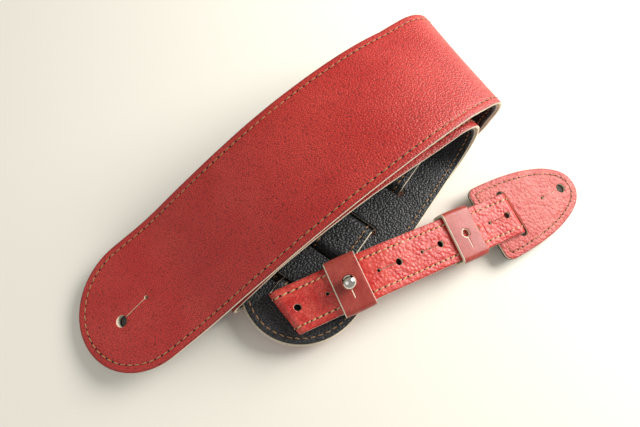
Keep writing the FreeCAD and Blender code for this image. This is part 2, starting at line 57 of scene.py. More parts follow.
# ---------------------------------------------------------------- sizes, as in the CAD part
STRAP_WIDTH, STRAP_FACE, STRAP_PAD, STRAP_BACK, GAP = 70.0, 1.8, 1.5, 1.2, 0.05
STRAP_TOTAL = STRAP_FACE + STRAP_PAD + STRAP_BACK
HALF_STRAP, REST = STRAP_WIDTH / 2, STRAP_TOTAL / 2
END_ROUND, END_FLAT, INNER_FLAT = 38.0, 50.6, 122.5
SLOTS, SLOT_WIDTH, SLOT_LENGTH = (27.9, 55.1, 79.7, 109.2), 6.2, 36.0
BUTTON_RADIUS, BUTTON_AT, BUTTON_SLIT = 3.2, 23.3, 17.5
BUTTON_ASIDE, BUTTON_TURN = 2.7, 5.9
SLIT_HALF, SLIT_END = 0.25, 1.1
INSET = 3.8
TAIL_WIDTH, TAIL_FACE, TAIL_BACK = 25.4, 1.5, 1.25
TAIL_TOTAL = TAIL_FACE + TAIL_BACK
HALF_TAIL = TAIL_TOTAL / 2
TAIL_HOLES, TAIL_HOLE_RADIUS, TAIL_SLIT = (3.4, 32.6, 61.5, 88.5, 113.5, 135.5), 2.0, 12.3
TAB_LENGTH, TAB_HALF, TAB_CORNER, TAB_FACE, TAB_BACK = 67.3, 23.3, 5.0, 1.5, 1.2
TAB_TOTAL = TAB_FACE + TAB_BACK + GAP
TAB_SLOT, TAB_SLOT_LENGTH = (15.4, 21.4), 30.0
TAB_HOLE_AT, TAB_HOLE_RADIUS, TAB_SLIT = 57.2, 3.0, 15.1
KEEPER_WIDTH, KEEPER_SKIN, KEEPER_ROOM, LAYER_GAP = 17.4, 1.8, 0.6, 4.4
SLIDER_AT = 104.5
GROOVE, GROOVE_WIDTH = 0.16, 0.75  # the line pressed in by the stitches
EDGE_ROLL, EDGE_ROLL_WIDTH = 0.22, 0.9  # how the finished side drops at its edge
NEEDLE_HOLE = (0.62, 0.52)  # half sizes of a needle hole
WRAP_RADIUS, BAR_REACH = 3.7, 0.8  # of the tail round the tab's bar
KEEPER_CORNER = 1.2  # inner corner radius of a keeper
BALL_RADIUS, NECK_RADIUS, BASE_RADIUS, BASE_HEIGHT = 4.0, 1.6, 5.0, 1.0
UNEVEN = (34.0, 0.16, 3.0)  # size, height and seed of the strap's waves
STRAP_LINES = (-22, -11, 0, 11, 22)  # cuts along a pattern
TAIL_LINES = (-6, -4, -2, 0, 2, 4, 6)
LINING_INSET = 0.9  # lining, from the face's cut edge


# ---------------------------------------------------------------- centre lines
class Strip:
    """Centre line of a leather strip as stations (distance, point, along, across, skew)."""

    def __init__(self, point, heading, slope=0.0, roll=0.0):
        self.point, self.heading, self.slope, self.roll = Vector(point), heading, slope, roll
        self.skew, self.distance, self.stations = 0.0, 0.0, []
        self.record()

    def axes(self):
        along = Vector((math.cos(self.slope) * math.cos(self.heading),
                        math.cos(self.slope) * math.sin(self.heading), math.sin(self.slope)))
        level = Vector((-math.sin(self.heading), math.cos(self.heading), 0))
        across = level * math.cos(self.roll) + along.cross(level) * math.sin(self.roll)
        return along, across

    def record(self):
        along, across = self.axes()
        self.stations.append((self.distance, self.point.copy(), along, across, self.skew))

    def go(self, length, slope=None, heading=None, roll=None, skew=None, step=5.0):
        start = (self.slope, self.heading, self.roll, self.skew)
        end = tuple(a if b is None else b for a, b in zip(start, (slope, heading, roll, skew)))
        count = max(1, math.ceil(length / step))
        for i in range(1, count + 1):
            for share in ((i - 0.5) / count, i / count):
                state = [a + (b - a) * share for a, b in zip(start, end)]
                self.slope, self.heading, self.roll, self.skew = state
                if share < i / count:
                    self.point = self.point + self.axes()[0] * (length / count)
            self.distance += length / count
            self.record()
        return self

    def arc(self, radius, turn, step=5.0, **ends):
        return self.go(abs(turn) * radius, slope=self.slope + turn, step=step, **ends)

    def fold(self, radius, turn, lean, step=3.0):
        """A half turn about a line that leans away from square."""
        along, across = self.axes()
        ruling = across * math.cos(lean) + along * math.sin(lean)
        ahead = along * math.cos(lean) - across * math.sin(lean)
        normal = along.cross(across)
        side = math.copysign(1.0, turn)
        start, length = self.point, radius * abs(turn) / math.cos(lean)
        count = max(6, math.ceil(length / step))
        for i in range(1, count + 1):
            angle = abs(turn) * i / count
            tangent = ahead * math.cos(angle) + normal * (side * math.sin(angle))
            self.point = (start + ruling * (math.sin(lean) * length * i / count)
                          + ahead * (radius * math.sin(angle))
                          + normal * (side * radius * (1 - math.cos(angle))))
            self.distance += length / count
            self.stations.append((self.distance, self.point.copy(),
                                  tangent * math.cos(lean) + ruling * math.sin(lean),
                                  ruling * math.cos(lean) - tangent * math.sin(lean),
                                  math.tan(lean)))
        self.heading -= 2 * lean * math.copysign(1.0, math.cos(self.slope))
        self.slope += turn
        return self

    def freeze(self):
        """Arrays for place(); called once the path is complete."""
        self.s = np.array([s[0] for s in self.stations])
        self.p, self.a, self.c = (np.array([list(s[k]) for s in self.stations])
                                  for k in (1, 2, 3))
        self.k = np.array([s[4] for s in self.stations])
        return self

    def place(self, u, v, w):
        """Pattern coordinates to points in the row frame, in metres."""
        u, v, w = (np.asarray(x, float) for x in (u, v, w))
        i = np.clip(np.searchsorted(self.s, u, side="right") - 1, 0, len(self.s) - 2)
        h = self.s[i + 1] - self.s[i]
        t = ((u - self.s[i]) / h)[:, None]
        h = h[:, None]
        point = ((2 * t**3 - 3 * t**2 + 1) * self.p[i] + (t**3 - 2 * t**2 + t) * h * self.a[i]
                 + (3 * t**2 - 2 * t**3) * self.p[i + 1] + (t**3 - t**2) * h * self.a[i + 1])
        along = self.a[i] * (1 - t) + self.a[i + 1] * t
        along /= np.linalg.norm(along, axis=1)[:, None]
        across = self.c[i] * (1 - t) + self.c[i + 1] * t
        across -= along * (across * along).sum(1)[:, None]
        across /= np.linalg.norm(across, axis=1)[:, None]
        skew = (self.k[i] * (1 - t[:, 0]) + self.k[i + 1] * t[:, 0])[:, None]
        out = point + (across + along * skew) * v[:, None] + np.cross(along, across) * w[:, None]
        return (out - np.array(ORIGIN)) * MM

    def at(self, distance):
        """Point (paths' frame), along, across and up at a distance."""
        for a, b in zip(self.stations, self.stations[1:]):
            if a[0] - 1e-6 <= distance <= b[0] + 1e-6:
                share = (distance - a[0]) / (b[0] - a[0])
                point, along, across = (a[k] + (b[k] - a[k]) * share for k in (1, 2, 3))
                along.normalize()
                across = across - along * across.dot(along)
                across.normalize()
                return point, along, across, along.cross(across)
        raise ValueError("no station at %g" % distance)

    def lines(self, start, end, longest, turn=0.07):
        """Distances at which a pattern is cut so that it bends smoothly."""
        found = []
        for a, b in zip(self.stations, self.stations[1:]):
            if b[0] <= start + 1e-6 or a[0] >= end - 1e-6:
                continue
            angle = a[2].angle(b[2], 0.0)
            count = max(1, math.ceil((b[0] - a[0]) / longest), math.ceil(angle / turn))
            found += [a[0] + (b[0] - a[0]) * i / count for i in range(count)]
        return [u for u in found if start + 0.02 < u < end - 0.02]


def strap_path():
    heading, slope, roll = math.radians(43.4), 0.25, -0.11
    start = Vector((-96.8, 9.07, 10.57))
    along, across = Strip(start, heading, slope, roll).axes()
    path = Strip(start - along * BUTTON_AT, heading, slope, roll)
    path.go(END_FLAT)
    path.go(20, slope=0.44).go(42, slope=0.39).go(50, slope=0.19).go(40, slope=0.0)
    path.go(25, slope=-0.2).go(15, roll=-0.05)
    radius = (path.point.z - REST) / (1 + math.cos(path.slope))
    path.arc(radius, -math.pi / 2 - path.slope, roll=0.06, heading=math.radians(36.0))
    path.arc(radius, -math.pi / 2, roll=0.0, heading=math.radians(43.0))
    path.go(149)
    path.arc(7.0, -math.pi + 0.55, step=2.5, heading=math.radians(42.2))
    path.go(31, roll=-0.09).go(14, slope=-2 * math.pi + 0.38)
    path.go(46, slope=-2 * math.pi + 0.10).go(36, slope=-2 * math.pi, roll=0.0).go(12, skew=-0.14)
    shelf = STRAP_TOTAL + TAIL_TOTAL + 0.45 + REST
    path.fold((path.point.z - shelf) / 2, -math.pi, (path.heading - INNER_HEADING) / 2, step=4.0)
    path.go(16, skew=0.0)
    return path


INNER_HEADING, TAIL_HEADING = math.radians(60.3), math.radians(30.0)
strap = strap_path()
STRAP_BEND_END = strap.distance
STRAP_LENGTH = STRAP_BEND_END + INNER_FLAT


def tail_path():
    """The tail: woven through four slots, folded back, run out, round the tab's bar and back."""
    weave_radius, tilt, hidden_tip, offset = 3.0, math.radians(65), -10.0, 3.05
    over = strap.point.z + REST + 0.2 + HALF_TAIL
    under = STRAP_TOTAL + 0.2 + HALF_TAIL
    steep = (over - under - 2 * weave_radius * (1 - math.cos(tilt))) / math.sin(tilt)
    reach = 2 * weave_radius * math.sin(tilt) + steep * math.cos(tilt)
    point, along, across, up = strap.at(STRAP_BEND_END)
    start = point + along * hidden_tip - across * offset
    start.z = over
    path = Strip(start, INNER_HEADING, math.pi)
    position = hidden_tip
    for slot, sign in zip(reversed(SLOTS), (1, -1, 1, -1)):
        middle = INNER_FLAT - slot
        path.go(middle - reach / 2 - position, step=3.0)
        path.arc(weave_radius, sign * tilt, step=0.9)
        path.go(steep, step=1.2)
        path.arc(weave_radius, -sign * tilt, step=0.9)
        position = middle + reach / 2
    marks = {}
    angle = (INNER_HEADING - TAIL_HEADING) / 2
    path.go(5.8, skew=math.tan(-angle), step=1.9)
    marks["fold_start"] = path.distance
    path.fold(3.0, -math.pi, -angle, step=0.8)
    marks["fold_end"] = path.distance
    path.go(8, skew=0.0, step=2.0)
    path.go(10, slope=0.20).go(14, slope=0.14).go(10, slope=-0.01).go(18, slope=-0.168, roll=0.08)
    path.go(58)
    marks["loop_start"] = path.distance
    path.go(19.5, slope=-0.02, roll=0.05)
    marks["wrap_start"] = path.distance
    path.arc(WRAP_RADIUS, -math.pi, step=1.2, roll=-0.05)
    marks["wrap_end"] = path.distance
    back = -math.pi
    path.go(14, slope=back - 0.13, roll=-0.06).go(5, slope=back - 0.67, roll=-0.07)
    marks["loop_end"] = path.distance
    path.go(5, slope=back - 0.179, roll=-0.08, step=2.5).go(53)
    path.go(18, slope=back - 0.01, roll=0.0).go(10, slope=back + 0.11).go(10, slope=back + 0.14)
    marks["end"] = path.distance
    return path, marks


tail, MARK = tail_path()
strap.go(INNER_FLAT)
strap.freeze()
tail.freeze()


def tab_path():
    """Straight path on which the end tab's pattern lies; its start is the tab's square edge."""
    upper, lower = tail.at(MARK["wrap_start"]), tail.at(MARK["wrap_end"])
    centre = (upper[0] + lower[0]) * 0.5
    along, across, up = upper[1], upper[2], upper[3]
    turn, pitch = math.radians(3.0), 0.075
    x = (along * math.cos(turn) + across * math.sin(turn)) * math.cos(pitch) - up * math.sin(pitch)
    y = up.cross(x).normalized()
    start = centre - x * (TAB_SLOT[0] - BAR_REACH)
    path = Strip(start, 0.0)
    path.stations = [(d, start + x * d, x, y, 0.0) for d in (0.0, 35.0, 70.0)]
    return path.freeze()


def loop_path(place, room_below):
    """Closed path round the inside of a keeper; its start is the middle of the underside."""
    point, along, across, up = place
    side = TAIL_WIDTH / 2 + KEEPER_ROOM
    top, low, radius = HALF_TAIL + KEEPER_ROOM, -LAYER_GAP - HALF_TAIL - room_below, KEEPER_CORNER
    path = Strip(point, 0.0)
    path.stations = []
    corners = ((side, low), (side, top), (-side, top), (-side, low))
    distance, here, angle = 0.0, Vector((0.0, low)), 0.0

    def note():
        way = across * math.cos(angle) + up * math.sin(angle)
        path.stations.append((distance, point + across * here.x + up * here.y, way, along, 0.0))

    note()
    for number, corner in enumerate(corners + ((0.0, low),)):
        ahead = Vector((math.cos(angle), math.sin(angle)))
        run = (Vector(corner) - here).dot(ahead) - (radius if number < 4 else 0.0)
        for i in range(1, 7):
            distance, here = distance + run / 6, here + ahead * (run / 6)
            note()
        if number < 4:
            centre = here + Vector((-ahead.y, ahead.x)) * radius
            first = angle
            for i in range(1, 9):
                angle = first + math.pi / 2 * i / 8
                distance += radius * math.pi / 16
                here = centre + Vector((math.sin(angle), -math.cos(angle))) * radius
                note()
    return path.freeze()


# ---------------------------------------------------------------- flat patterns
def turned(points, distance, joints=()):
    """A closed counterclockwise outline moved inward; points on a joint stay on it."""
    moved, count = [], len(points)
    for i, (x, y) in enumerate(points):
        (ax, ay), (bx, by) = points[i - 1], points[(i + 1) % count]
        first, second = Vector((ay - y, x - ax)), Vector((y - by, bx - x))
        first.normalize()
        second.normalize()
        way = (first + second) / max(0.35, 1 + first.dot(second))
        moved.append((x if on_joint(x, joints) else x + way.x * distance, y + way.y * distance))
    return moved


def on_joint(x, joints):
    return any(abs(x - j) < 1e-6 for j in joints)


def joint_edge(a, b, joints):
    """Whether the pattern edge from a to b is where the strip goes on in its next piece."""
    return abs(a[0] - b[0]) < 1e-6 and on_joint(a[0], joints)


def strap_outline():
    """Both ends rounded, counterclockwise."""
    points = []
    for centre, first in ((STRAP_LENGTH - END_ROUND, -90), (END_ROUND, 90)):
        for degrees in range(first, first + 181, 4):
            t = math.radians(degrees)
            points.append((centre + END_ROUND * math.cos(t), HALF_STRAP * math.sin(t)))
    return points


def tab_outline():
    power, nose = 2 / 2.25, TAB_LENGTH - TAB_CORNER
    points = [(TAB_CORNER + nose * abs(math.cos(t)) ** power,
               math.copysign(TAB_HALF * abs(math.sin(t)) ** power, t))
              for t in (math.radians(d) for d in range(-88, 89, 4))]
    points = [(TAB_CORNER, -TAB_HALF)] + points + [(TAB_CORNER, TAB_HALF)]
    for sign, first in ((1, 90), (-1, 180)):
        for degrees in range(first + 15, first + 90 if sign > 0 else first + 76, 15):
            t = math.radians(degrees)
            points.append((TAB_CORNER * (1 + math.cos(t)),
                           sign * (TAB_HALF - TAB_CORNER) + TAB_CORNER * math.sin(t)))
    return [p for i, p in enumerate(points)
            if math.dist(p, points[i - 1]) > 0.3]


def keyhole(x, radius, end, plain=False, steps=18):
    """Clockwise outline of a button hole and its slit; a plain slit has no small end hole."""
    way = math.copysign(1.0, end - x)
    a, b = math.asin(SLIT_HALF / radius), math.asin(SLIT_HALF / SLIT_END)
    big = [a + (2 * math.pi - 2 * a) * i / steps for i in range(steps + 1)]
    small = [b - math.pi + (2 * math.pi - 2 * b) * i / 10 for i in range(11)]
    points = [(x + way * radius * math.cos(t), way * radius * math.sin(t)) for t in big]
    if plain:
        points += [(end, -way * SLIT_HALF), (end, way * SLIT_HALF)]
    else:
        points += [(end + way * SLIT_END * math.cos(t), way * SLIT_END * math.sin(t))
                   for t in small]
    return points[::-1]


def top_hole():
    """The wide strap's button hole, a little aside and askew."""
    a = math.radians(BUTTON_TURN)
    return [(BUTTON_AT + x * math.cos(a) - y * math.sin(a),
             x * math.sin(a) + y * math.cos(a) - BUTTON_ASIDE)
            for x, y in keyhole(0.0, BUTTON_RADIUS, BUTTON_SLIT)]


def round_hole(x, radius, steps=20):
    return [(x + radius * math.cos(t), -radius * math.sin(t))
            for t in (2 * math.pi * i / steps for i in range(steps))]


def long_hole(low, high, half):
    """Clockwise outline of a slot across the strip."""
    radius, middle = (high - low) / 2, (low + high) / 2
    points = []
    for sign, first in ((1, 180), (-1, 0)):
        for degrees in range(0, 181, 20):
            t = math.radians(first - degrees)
            points.append((middle + radius * math.cos(t),
                           sign * (half - radius) + radius * math.sin(t)))
    return points


def edge_distance(points, outline, joints):
    """Distance of each pattern point from the outline, leaving out the joints."""
    best = np.full(len(points), 1e3)
    for (ax, ay), (bx, by) in zip(outline, outline[1:] + outline[:1]):
        if joint_edge((ax, ay), (bx, by), joints):
            continue
        d = np.array((bx - ax, by - ay))
        rel = points - np.array((ax, ay))
        t = np.clip(rel @ d / max(d @ d, 1e-12), 0, 1)
        best = np.minimum(best, np.hypot(*(rel - t[:, None] * d).T))
    return best


class Pattern:
    """A flat pattern cut into small faces: 2-D points, faces and outward edge directions."""

    def __init__(self, outline, holes=(), lines=(), cross=(), rings=(), joints=(), rim=0.3):
        self.outline, self.joints, self.rim = outline, joints, rim
        bm = bmesh.new()
        loops, previous = [turned(outline, rim + r, joints) for r in (0.0,) + tuple(rings)], None
        for loop in loops:
            verts = [bm.verts.new((x, y, 0)) for x, y in loop]
            if previous:
                for i in range(len(verts)):
                    j = (i + 1) % len(verts)
                    if not joint_edge(loop[i], loop[j], joints):
                        bm.faces.new((previous[i], previous[j], verts[j], verts[i]))
            previous = verts
        inner = [previous] + [[bm.verts.new((x, y, 0)) for x, y in turned(hole, 0.15)]
                              for hole in holes]
        border = []
        for verts in inner:
            for i, vert in enumerate(verts):
                other = verts[(i + 1) % len(verts)]
                border.append(bm.edges.get((vert, other)) or bm.edges.new((vert, other)))
        bmesh.ops.triangle_fill(bm, use_beauty=True, edges=border, normal=(0, 0, 1))
        for axis, places in ((0, lines), (1, cross)):
            for place in places:
                at = [0.0, 0.0, 0.0]
                at[axis] = place
                bmesh.ops.bisect_plane(bm, geom=bm.verts[:] + bm.edges[:] + bm.faces[:],
                                       dist=1e-5, plane_co=at,
                                       plane_no=[float(k == axis) for k in range(3)])
        loose = [v for v in bm.verts if not v.link_faces]
        bmesh.ops.delete(bm, geom=loose, context="VERTS")
        for face in bm.faces:
            if face.normal.z < 0:
                face.normal_flip()
        bm.verts.index_update()
        self.points = np.array([(v.co.x, v.co.y) for v in bm.verts])
        self.faces = [[v.index for v in f.verts] for f in bm.faces]
        self.border = [(e.link_loops[0].vert.index, e.link_loops[0].link_loop_next.vert.index)
                       for e in bm.edges if len(e.link_faces) == 1]
        bm.free()
        self.edge = edge_distance(self.points, outline, joints)
        self.find_outward()

    def find_outward(self):
        """Outward direction at each border point, by the two border edges that meet there."""
        normals = {}
        for a, b in self.border:
            d = self.points[b] - self.points[a]
            n = np.array((d[1], -d[0])) / max(np.hypot(*d), 1e-9)
            for end in (a, b):
                normals.setdefault(end, []).append(
                    (n, joint_edge(self.points[a], self.points[b], self.joints)))
        self.outward = {}
        for i, found in normals.items():
            kept = [n for n, joint in found if not joint] or [n for n, _ in found]
            if len(kept) < len(found) or all(joint for _, joint in found):
                way = kept[0] if len(kept) < len(found) else np.zeros(2)
            else:
                way = (kept[0] + kept[1]) / max(0.35, 1 + kept[0] @ kept[1])
            self.outward[i] = np.array((0.0, way[1])) if on_joint(self.points[i][0],
                                                                  self.joints) else way


def waves(points, size, height, seed):
    """Gentle unevenness of the leather, as a height at each pattern point."""
    def at(x, y):
        coarse = noise.noise(Vector((x / size, y / size, seed)))
        return coarse + 0.5 * noise.noise(Vector((x / size * 2.1, y / size * 2.1, seed + 9)))

    return height * np.array([at(x, y) for x, y in points])


# ---------------------------------------------------------------- meshes
def new_object(name, points, faces, materials, indices, attributes=None, angle=40):
    mesh = bpy.data.meshes.new(name)
    mesh.from_pydata([tuple(p) for p in points], [], faces)
    for material in materials:
        mesh.materials.append(material)
    mesh.polygons.foreach_set("material_index", np.array(indices, np.int32))
    mesh.polygons.foreach_set("use_smooth", np.ones(len(faces), bool))
    for key, values in (attributes or {}).items():
        kind = "FLOAT_VECTOR" if values.ndim == 2 else "FLOAT"
        layer = mesh.attributes.new(key, kind, "POINT")
        layer.data.foreach_set("vector" if values.ndim == 2 else "value",
                               values.astype(np.float32).ravel())
    mesh.validate()
    mesh.update()
    mesh.set_sharp_from_angle(angle=math.radians(angle))
    obj = bpy.data.objects.new(name, mesh)
    bpy.context.scene.collection.objects.link(obj)
    return obj


def layer(name, path, pattern, low, high, materials, show=1, height=0.0, bare=0):
    """A leather layer between two offsets from its path; show is its finished side.

    materials are (finished side, cut edge).  height raises the finished side at each point.
    bare is the side (sign of v) where the cut edge takes in the rounded corner as well.
    """
    count, rim = len(pattern.points), pattern.rim
    thick = high - low
    groove = GROOVE * np.exp(-((pattern.edge - INSET) / GROOVE_WIDTH) ** 2)
    rounding = EDGE_ROLL * np.exp(-pattern.edge / EDGE_ROLL_WIDTH)
    lift = height - groove - rounding
    u, v = pattern.points.T
    near = np.full(count, high) + (lift if show > 0 else 0.0)
    far = np.full(count, low) - (lift if show < 0 else 0.0)
    us, vs, ws = [u, u], [v, v], [near, far]
    faces = [list(f) for f in pattern.faces] + [[i + count for i in reversed(f)]
                                                for f in pattern.faces]
    one = 0 if show > 0 else 1
    indices = [one] * len(pattern.faces) + [1 - one] * len(pattern.faces)
    keys = sorted(pattern.outward)
    slot = {k: n for n, k in enumerate(keys)}
    ways = np.array([pattern.outward[k] for k in keys])
    start = 2 * count
    soft = min(0.35, thick / 3)
    profile = [(0.75, "near", -0.14 if show > 0 else -0.05), (1.0, "near", -soft),
               (1.0, "far", soft), (0.75, "far", 0.05 if show > 0 else 0.14)]
    for out, side, drop in profile:
        base = near if side == "near" else far
        us.append(u[keys] + ways[:, 0] * rim * out)
        vs.append(v[keys] + ways[:, 1] * rim * out)
        ws.append(base[keys] + drop)
    rows = [None] + [start + n * len(keys) for n in range(len(profile))] + [None]

    def index(row, k):
        if row == 0:
            return k
        return k + count if row == len(rows) - 1 else rows[row] + slot[k]

    for row in range(len(rows) - 1):
        top_band, low_band = row == 0, row == len(rows) - 2
        kind = 0 if (top_band and show > 0) or (low_band and show < 0) else 1
        for a, b in pattern.border:
            faces.append([index(row, b), index(row, a), index(row + 1, a), index(row + 1, b)])
            indices.append(1 if bare * pattern.points[a][1] > 0 else kind)
    u, v, w = np.concatenate(us), np.concatenate(vs), np.concatenate(ws)
    edge = np.concatenate([pattern.edge, pattern.edge] + [np.zeros(len(keys))] * len(profile))
    flat = np.stack([u, v, w + 40.0 * show], 1) * MM
    return new_object(name, path.place(u, v, w), faces, materials, indices,
                      {"flat": flat, "edge": edge * MM})


def row_of(outline, joints=(), pitch=4.0, inset=INSET):
    """Needle holes along the stitch line: lists of (u, v), one for each unbroken row."""
    loop = turned(outline, inset, joints)
    count = len(loop)
    cuts = [i for i in range(count)
            if joint_edge(loop[i], loop[(i + 1) % count], joints)]
    if cuts:
        runs = [[loop[k % count] for k in range(first + 1, last + 1)]
                for first, last in zip(cuts, cuts[1:] + [cuts[0] + count])]
    else:
        runs = [loop + loop[:1]]
    found = []
    for points in runs:
        points = np.array(points)
        lengths = np.concatenate([[0], np.cumsum(np.hypot(*np.diff(points, axis=0).T))])
        count = max(1, round(lengths[-1] / pitch))
        marks = np.linspace(0, lengths[-1], count + 1)
        found.append(np.stack([np.interp(marks, lengths, points[:, k]) for k in (0, 1)], 1))
    return found


def stitches(name, path, rows, surface, side, thread, dark, width=0.8, slant=0.16, seed=0):
    """Thread between needle holes, each stitch a slightly slanted strand that dips at its ends."""
    rng = np.random.default_rng(seed)
    points, faces, indices, flats = [], [], [], []
    rings, around = 7, 8
    total = 0
    for holes in rows:
        a, b = holes[:-1], holes[1:]
        way = b - a
        length = np.hypot(*way.T)[:, None]
        way = way / length
        cross = np.stack([-way[:, 1], way[:, 0]], 1)
        tilt = (slant + rng.normal(0, 0.03, len(a)))[:, None]
        wide = width * (1 + rng.normal(0, 0.05, len(a)))[:, None]
        for r in range(rings):
            s = r / (rings - 1)
            swell = math.sin(math.pi * min(max(s, 0.04), 0.96)) ** 0.45
            middle = a + way * (length * (0.16 + 0.68 * s)) + cross * tilt * (2 * s - 1)
            rise = 0.10 + 0.14 * math.sin(math.pi * s)
            for k in range(around):
                t = 2 * math.pi * k / around
                spot = middle + cross * (wide / 2 * swell * math.cos(t))
                w = surface + side * (rise + 0.26 * swell * math.sin(t))
                points.append(np.concatenate([spot, np.full((len(a), 1), w)], 1))
        size = rings * around
        block = np.stack(points[-size:], 1).reshape(-1, 3)
        del points[-size:]
        points.append(block)
        for n in range(len(a)):
            base = total + n * size
            for r in range(rings - 1):
                for k in range(around):
                    m = (k + 1) % around
                    quad = [base + r * around + k, base + r * around + m,
                            base + (r + 1) * around + m, base + (r + 1) * around + k]
                    faces.append(quad if side < 0 else quad[::-1])
                    indices.append(0)
            first = [base + k for k in range(around)]
            last = [base + (rings - 1) * around + k for k in range(around)]
            faces += [first[::-1], last] if side < 0 else [first, last[::-1]]
            indices += [0, 0]
        total += len(block)
        flats.append(block)
        # each needle hole gets a small plug of the second material, dark: painted shade of the hole
        disc = 10
        dots = []
        for k in range(disc):
            t = 2 * math.pi * k / disc
            dots.append(holes + np.array((NEEDLE_HOLE[0] * math.cos(t),
                                          NEEDLE_HOLE[1] * math.sin(t))))
        ring = np.stack(dots, 1)
        for depth, grow in ((0.09, 0.55), (0.05, 1.0), (-0.3, 1.0), (-0.3, 0.55)):
            spread = holes[:, None, :] + (ring - holes[:, None, :]) * grow
            level = np.full(spread.shape[:2] + (1,), surface + side * depth)
            dots = np.concatenate([spread, level], 2)
            flats.append(dots.reshape(-1, 3))
            points.append(dots.reshape(-1, 3))
        stride = len(holes) * disc
        for n in range(len(holes)):
            for level in range(3):
                for k in range(disc):
                    m = (k + 1) % disc
                    low = total + level * stride + n * disc
                    up = low + stride
                    quad = [low + k, low + m, up + m, up + k]
                    faces.append(quad[::-1] if side > 0 else quad)
                    indices.append(1)
            top = [total + n * disc + k for k in range(disc)]
            base = [total + 3 * stride + n * disc + k for k in range(disc)]
            faces += [top, base[::-1]] if side > 0 else [top[::-1], base]
            indices += [1, 1]
        total += 4 * stride
    pattern = np.concatenate(points)
    return new_object(name, path.place(*pattern.T), faces, [thread, dark], indices,
                      {"flat": pattern * MM, "edge": np.full(len(pattern), INSET * MM)}, angle=60)


def lathe(name, profile, place, material, steps=48):
    """Turned part about the up direction; profile is (radius, height) from top to bottom."""
    point, along, across, up = place
    points, faces = [], []
    for radius, height in profile:
        for k in range(steps if radius > 0 else 1):
            t = 2 * math.pi * k / steps
            points.append((point + up * height + along * (radius * math.cos(t))
                           + across * (radius * math.sin(t)) - ORIGIN) * MM)
    starts, total = [], 0
    for radius, _ in profile:
        starts.append(total)
        total += steps if radius > 0 else 1
    for n in range(len(profile) - 1):
        for k in range(steps):
            m = (k + 1) % steps
            upper = [starts[n]] if profile[n][0] == 0 else [starts[n] + m, starts[n] + k]
            lower = [starts[n + 1]] if profile[n + 1][0] == 0 else [starts[n + 1] + k,
                                                                    starts[n + 1] + m]
            faces.append(upper + lower)
    return new_object(name, points, faces, [material], [0] * len(faces), angle=35)


# ---------------------------------------------------------------- materials
class Shader:
    """A node material, built by calls that return the new node's first output."""

    def __init__(self, name, roughness=0.5, **inputs):
        self.material = bpy.data.materials.new(name)
        self.material.use_nodes = True
        self.tree = self.material.node_tree
        self.shader = self.tree.nodes["Principled BSDF"]
        self.set("Roughness", roughness)
        for key, value in inputs.items():
            self.set(key.replace("_", " "), value)

    def set(self, socket, value):
        target = self.shader.inputs[socket]
        if isinstance(value, bpy.types.NodeSocket):
            self.tree.links.new(value, target)
        else:
            target.default_value = value

    def node(self, kind, output=0, inputs=(), **settings):
        made = self.tree.nodes.new("ShaderNode" + kind)
        for key, value in settings.items():
            setattr(made, key, value)
        for key, value in dict(inputs).items():
            if isinstance(value, bpy.types.NodeSocket):
                self.tree.links.new(value, made.inputs[key])
            else:
                made.inputs[key].default_value = value
        return made.outputs[output]

    def attribute(self, name, output):
        return self.node("Attribute", output, attribute_name=name)

    def pattern(self, scale=1.0):
        """Pattern coordinates in millimetres times scale."""
        return self.node("VectorMath", inputs={0: self.attribute("flat", "Vector"),
                                               "Scale": 1000.0 * scale}, operation="SCALE")

    def noise(self, scale, detail=3.0, roughness=0.5, distortion=0.0):
        return self.node("TexNoise", "Fac", {"Vector": self.pattern(scale), "Scale": 1.0,
                                             "Detail": detail, "Roughness": roughness,
                                             "Distortion": distortion})

    def cells(self, scale, feature="F1", output="Distance", vector=None, smooth=0.5):
        inputs = {"Vector": vector or self.pattern(scale), "Scale": 1.0}
        if feature == "SMOOTH_F1":
            inputs["Smoothness"] = smooth
        return self.node("TexVoronoi", output, inputs, feature=feature)

    def remap(self, value, low, high, to_low=0.0, to_high=1.0, smooth=True):
        return self.node("MapRange", "Result", {"Value": value, "From Min": low, "From Max": high,
                                                "To Min": to_low, "To Max": to_high},
                         interpolation_type="SMOOTHSTEP" if smooth else "LINEAR")

    def math(self, operation, a, b):
        return self.node("Math", inputs={0: a, 1: b}, operation=operation)

    def mix(self, factor, first, second, blend="MIX"):
        made = self.tree.nodes.new("ShaderNodeMix")
        made.data_type, made.blend_type = "RGBA", blend
        for socket, value in ((made.inputs[0], factor), (made.inputs[6], first),
                              (made.inputs[7], second)):
            if isinstance(value, bpy.types.NodeSocket):
                self.tree.links.new(value, socket)
            else:
                socket.default_value = value
        return made.outputs[2]

    def bump(self, height, strength, distance=0.0003):
        self.set("Normal", self.node("Bump", inputs={"Height": height, "Strength": strength,
                                                     "Distance": distance}))


def rgb(red, green, blue):
    """A colour given as screen values from 0 to 255."""
    return tuple((c / 255 / 12.92 if c < 10.5 else ((c / 255 + 0.055) / 1.055) ** 2.4)
                 for c in (red, green, blue)) + (1.0,)


